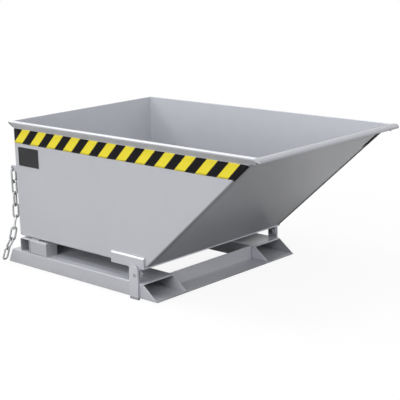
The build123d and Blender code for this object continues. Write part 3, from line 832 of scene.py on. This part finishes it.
def bead_tree():
    """Geometry Nodes tree that sweeps a rippled bead along each edge of a mesh."""
    tree = bpy.data.node_groups.new("weld_bead", "GeometryNodeTree")
    sizes = ("Radius", "Ripple", "Spacing", "Depth", "Wobble", "End", "Taper")
    sockets = {
        "Seams": "NodeSocketGeometry",
        **dict.fromkeys(sizes, "NodeSocketFloat"),
        "Corners": "NodeSocketInt",
        "Coat": "NodeSocketMaterial",
    }
    for name, kind in sockets.items():
        tree.interface.new_socket(name, in_out="INPUT", socket_type=kind)
    tree.interface.new_socket("Beads", in_out="OUTPUT", socket_type="NodeSocketGeometry")
    board = Board(tree)
    given = {name: board.node("NodeGroupInput", output=name) for name in sockets}
    path = board.node("GeometryNodeMeshToCurve", None, {"Mesh": given["Seams"]})
    spaced = {"Curve": path, "Length": given["Spacing"]}
    path = board.node("GeometryNodeResampleCurve", {"mode": "LENGTH"}, spaced)
    run = board.node("GeometryNodeSplineParameter", output="Length")
    share = board.node("GeometryNodeSplineParameter", output="Factor")
    lumps = board.noise(board.node("GeometryNodeInputPosition"), scale=70.0, detail=1.0)
    wave = board.maths("SINE", run / given["Ripple"] * math.tau)
    to_end = board.maths("MINIMUM", share, 1.0 - share)
    ends = board.clamped(to_end * given["Taper"] + given["End"])
    swell = (1.0 + wave * given["Depth"] + lumps.swing(given["Wobble"])) * ends
    circle = {"Resolution": given["Corners"], "Radius": given["Radius"]}
    section = board.node("GeometryNodeCurvePrimitiveCircle", None, circle)
    swept = {"Curve": path, "Profile Curve": section, "Scale": swell, "Fill Caps": True}
    beads = board.node("GeometryNodeCurveToMesh", None, swept)
    beads = board.node("GeometryNodeSetShadeSmooth", None, {"Geometry": beads})
    beads = board.node("GeometryNodeRealizeInstances", None, {"Geometry": beads})
    beads = board.node("GeometryNodeSetMaterial", None, {"Geometry": beads, "Material": given["Coat"]})
    board.node("NodeGroupOutput", None, {"Beads": beads})
    return tree


def hopper_seams():
    """Welded corners of the tub: two ends and the way that the corner faces."""
    seams = []
    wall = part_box("side_wall_left")[1].y
    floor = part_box("floor_plate")[0].z
    bend = bpy.context.scene.hopper_tape.corner
    for side, sign in SIDES:
        low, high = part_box(f"hinge_plate_{side}")
        seams.append(((low.x, sign * wall, high.z), (high.x, sign * wall, high.z), (0.0, sign, 1.0)))
        for x, way in ((low.x, -1.0), (high.x, 1.0)):
            foot = (x, sign * wall, floor + bend)
            seams.append((foot, (x, sign * wall, high.z), (way, sign, 0.0)))
    low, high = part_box("chain_lug")
    for y, way in ((low.y, -1.0), (high.y, 1.0)):
        seams.append(((high.x, y, low.z), (high.x, y, high.z), (-1.0, way, 0.0)))
    low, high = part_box("latch_strike")
    for z, way in ((low.z, -1.0), (high.z, 1.0)):
        seams.append(((high.x, low.y, z), (high.x, high.y, z), (-1.0, 0.0, way)))
    return seams


def frame_seams():
    """Welded corners of the base frame: two ends and the way that the corner faces."""
    seams = []
    groove = bpy.context.scene.hopper_welds.groove
    for side, sign in SIDES:
        rail_low, rail_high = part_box(f"pocket_outer_{side}")
        rail_face = rail_high.y if sign > 0 else rail_low.y
        inner_low, inner_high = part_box(f"pocket_inner_{side}")
        inner_face = inner_low.y if sign > 0 else inner_high.y
        deck = rail_high.z
        low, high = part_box(f"hinge_bracket_{side}")
        for x, way in ((low.x, -1.0), (high.x, 1.0)):
            seams.append(((x, rail_face, rail_low.z), (x, rail_face, deck), (way, sign, 0.0)))
        low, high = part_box("rear_cross_tube")
        for x, way in ((low.x + groove, -1.0), (high.x - groove, 1.0)):
            seams.append(((x, inner_face, deck), (x, rail_face, deck), (way, 0.0, 1.0)))
        low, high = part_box(f"rest_tube_{side}")
        inboard = low.y + groove if sign > 0 else high.y - groove
        seams.append(((low.x, inboard, deck), (high.x, inboard, deck), (0.0, -sign, 1.0)))
        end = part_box(f"rest_cap_{side}")[1].x
        seams.append(((end, low.y + groove, deck), (end, high.y - groove, deck), (1.0, 0.0, 1.0)))
        low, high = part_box("front_cross_plate")
        for x, way in ((low.x, -1.0), (high.x, 1.0)):
            seams.append(((x, inner_face, low.z), (x, inner_face, high.z), (way, -sign, 0.0)))
        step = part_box("front_base_plate")[1]
        seams.append(((high.x, inner_face, step.z), (step.x, inner_face, step.z), (0.0, -sign, 1.0)))
        low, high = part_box(f"latch_cheek_{side}")
        outer = high.y if sign > 0 else low.y
        seams.append(((high.x, outer, low.z), (high.x, outer, high.z), (-1.0, sign, 0.0)))
    low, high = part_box("front_cross_plate")
    seams.append(((high.x, low.y, low.z), (high.x, high.y, low.z), (1.0, 0.0, 1.0)))
    return seams


def bead_mesh(name, seams, tree, look):
    """Plain mesh of the beads along some seams."""
    points = []
    edges = []
    for start, end, way in seams:
        shift = Vector(way).normalized() * look.radius * look.stand_off
        edges.append((len(points), len(points) + 1))
        points.extend((Vector(start) + shift, Vector(end) + shift))
    lines = bpy.data.meshes.new(name)
    lines.from_pydata(points, edges, [])
    carrier = bpy.data.objects.new(name, lines)
    bpy.context.scene.collection.objects.link(carrier)
    nodes = carrier.modifiers.new("beads", "NODES")
    nodes.node_group = tree
    values = {
        "Radius": look.radius,
        "Ripple": look.ripple,
        "Spacing": look.ripple / look.steps,
        "Depth": look.depth,
        "Wobble": look.wobble,
        "End": look.end,
        "Taper": look.taper,
        "Corners": look.corners,
        "Coat": bpy.data.materials["painted_weld"],
    }
    for item in tree.interface.items_tree:
        if item.in_out == "INPUT" and item.name in values:
            nodes[item.identifier] = values[item.name]
    depsgraph = bpy.context.evaluated_depsgraph_get()
    mesh = bpy.data.meshes.new_from_object(carrier.evaluated_get(depsgraph), depsgraph=depsgraph)
    carrier.modifiers.remove(nodes)
    bpy.data.objects.remove(carrier)
    if not mesh.polygons:
        raise RuntimeError(f"{name} came out empty")
    return mesh


class HOPPER_OT_welds(bpy.types.Operator):
    """Run a weld bead along the joined edges of the tub and of the frame"""

    bl_idname = "hopper.welds"
    bl_label = "Run the weld beads"

    def execute(self, context):
        look = context.scene.hopper_welds
        painted_weld(context.scene.hopper_paint)
        tree = bead_tree()
        beads = (
            ("tub_welds", hopper_seams(), "hopper", "tub_paint"),
            ("frame_welds", frame_seams(), "frame", "frame_paint"),
        )
        for name, seams, body, slot in beads:
            new_piece(name, bead_mesh(name, seams, tree, look), body)
        return {"FINISHED"}


# Studio


def pale_floor(look):
    """Floor that is white to the camera, keeps the object's shadow and throws back little light."""
    finish = Finish("pale_floor")
    seen = finish.ray("Camera")
    mirrored = finish.ray("Glossy")
    away = finish.vector_maths("LENGTH", finish.place(), output="Value")
    reach = {"Value": away, "From Min": look.floor_near, "From Max": look.floor_far}
    open_floor = finish.node("ShaderNodeMapRange", {"interpolation_type": "SMOOTHSTEP"}, reach)
    white = seen * (look.floor_white + open_floor * (1.0 - look.floor_white))
    dark = with_alpha([look.floor_bounce] * 3)
    pale = with_alpha([look.floor_grey] * 3)
    colour = finish.mixed(finish.clamped(seen + mirrored), dark, pale)
    matt = finish.node("ShaderNodeBsdfDiffuse", None, {"Color": colour})
    bright = finish.node("ShaderNodeEmission", None, {"Strength": 1.0})
    surface = finish.node("ShaderNodeMixShader", None, {0: white, 1: matt, 2: bright})
    finish.node("ShaderNodeOutputMaterial", None, {"Surface": surface})
    return finish.material


def studio_world(look):
    """Even light all round, white where the camera sees it, straight or mirrored."""
    world = bpy.data.worlds.new("studio")
    world.use_nodes = True
    world.node_tree.nodes.clear()
    board = Board(world.node_tree)
    plain = with_alpha((1.0, 1.0, 1.0))
    even = board.node("ShaderNodeBackground", None, {"Color": plain, "Strength": look.sky})
    white = board.node("ShaderNodeBackground", None, {"Color": plain, "Strength": 1.0})
    seen = board.clamped(board.ray("Camera") + board.ray("Glossy"))
    surface = board.node("ShaderNodeMixShader", None, {0: seen, 1: even, 2: white})
    board.node("ShaderNodeOutputWorld", None, {"Surface": surface})
    return world


class Lamp(NamedTuple):
    """Where a lamp stands, the point that it is turned to, and its width and height."""

    place: tuple
    target: tuple
    width: float
    height: float


LAMPS = {
    "top": Lamp((0.2, -1.2, 5.0), (0.0, 0.0, 0.4), 2.6, 2.6),
    "back": Lamp((-4.0, -1.6, 4.6), (0.0, 0.0, 0.5), 1.6, 1.6),
    "side": Lamp((0.0, -5.0, 1.7), (0.0, 0.0, 0.4), 4.0, 1.6),
    "front": Lamp((4.0, 0.8, 1.6), (0.4, 0.1, 0.3), 2.0, 1.0),
}


def area_lamp(name, lamp, power):
    """Set up a lamp out of the camera's sight."""
    light = bpy.data.lights.new(name, "AREA")
    light.shape = "RECTANGLE"
    light.size = lamp.width
    light.size_y = lamp.height
    light.energy = power
    holder = bpy.data.objects.new(name, light)
    turn = (Vector(lamp.target) - Vector(lamp.place)).to_track_quat("-Z", "Y").to_matrix().to_4x4()
    holder.matrix_world = Matrix.Translation(lamp.place) @ turn
    holder.visible_camera = False
    bpy.context.scene.collection.objects.link(holder)


def studio_camera(look):
    """Camera at the photograph's viewing angle."""
    azimuth = look.azimuth
    elevation = look.elevation
    back = Vector((
        math.sin(azimuth) * math.cos(elevation),
        -math.cos(azimuth) * math.cos(elevation),
        math.sin(elevation),
    ))
    level = Vector((math.cos(azimuth), math.sin(azimuth), 0.0))
    upright = back.cross(level)
    right = level * math.cos(look.roll) + upright * math.sin(look.roll)
    up = upright * math.cos(look.roll) - level * math.sin(look.roll)
    lens = bpy.data.cameras.new("camera")
    lens.sensor_width = SENSOR_WIDTH
    lens.lens = look.lens
    camera = bpy.data.objects.new("camera", lens)
    place = Vector(look.aim) + back * look.distance
    camera.matrix_world = Matrix.Translation(place) @ Matrix((right, up, back)).transposed().to_4x4()
    bpy.context.scene.collection.objects.link(camera)
    return camera


class HOPPER_OT_stage(bpy.types.Operator):
    """Set up the floor, the lamps, the even light and the camera"""

    bl_idname = "hopper.stage"
    bl_label = "Set up the studio"

    def execute(self, context):
        scene = context.scene
        look = scene.hopper_studio
        half = look.floor_half
        corners = [(-half, -half, 0.0), (half, -half, 0.0), (half, half, 0.0), (-half, half, 0.0)]
        mesh = bpy.data.meshes.new("floor")
        mesh.from_pydata(corners, [], [(0, 1, 2, 3)])
        mesh.materials.append(pale_floor(look))
        floor = bpy.data.objects.new("floor", mesh)
        scene.collection.objects.link(floor)
        scene.world = studio_world(look)
        for name, lamp in LAMPS.items():
            area_lamp(f"{name}_lamp", lamp, getattr(look, name))
        scene.camera = studio_camera(look)
        scene.view_settings.view_transform = "Standard"
        return {"FINISHED"}


# Panel and registration


class HOPPER_PT_looks(bpy.types.Panel):
    """Lists the steps that dress the hopper, and their settings"""

    bl_idname = "HOPPER_PT_looks"
    bl_label = "Tipping hopper"
    bl_space_type = "VIEW_3D"
    bl_region_type = "UI"
    bl_category = "Hopper"

    def draw(self, context):
        for step in STEPS:
            self.layout.operator(step.bl_idname)
        for group in GROUPS:
            settings = getattr(context.scene, group)
            for name in settings.bl_rna.properties.keys():
                if name not in {"rna_type", "name"}:
                    self.layout.prop(settings, name)


STEPS = (HOPPER_OT_paint, HOPPER_OT_tape, HOPPER_OT_welds, HOPPER_OT_stage)
GROUPS = {
    "hopper_paint": HopperPaint,
    "hopper_tape": HopperTape,
    "hopper_welds": HopperWelds,
    "hopper_studio": HopperStudio,
}


def register():
    """Make the settings, the steps and the panel known."""
    for group, kind in GROUPS.items():
        bpy.utils.register_class(kind)
        setattr(bpy.types.Scene, group, PointerProperty(type=kind))
    for kind in (*STEPS, HOPPER_PT_looks):
        bpy.utils.register_class(kind)


def unregister():
    """Take the panel, the steps and the settings away again."""
    for kind in (HOPPER_PT_looks, *reversed(STEPS)):
        bpy.utils.unregister_class(kind)
    for group, kind in GROUPS.items():
        delattr(bpy.types.Scene, group)
        bpy.utils.unregister_class(kind)


def main():
    """Dress the hopper step by step."""
    register()
    bpy.ops.hopper.paint()
    bpy.ops.hopper.tape()
    bpy.ops.hopper.welds()
    bpy.ops.hopper.stage()


if __name__ == "__main__":
    main()
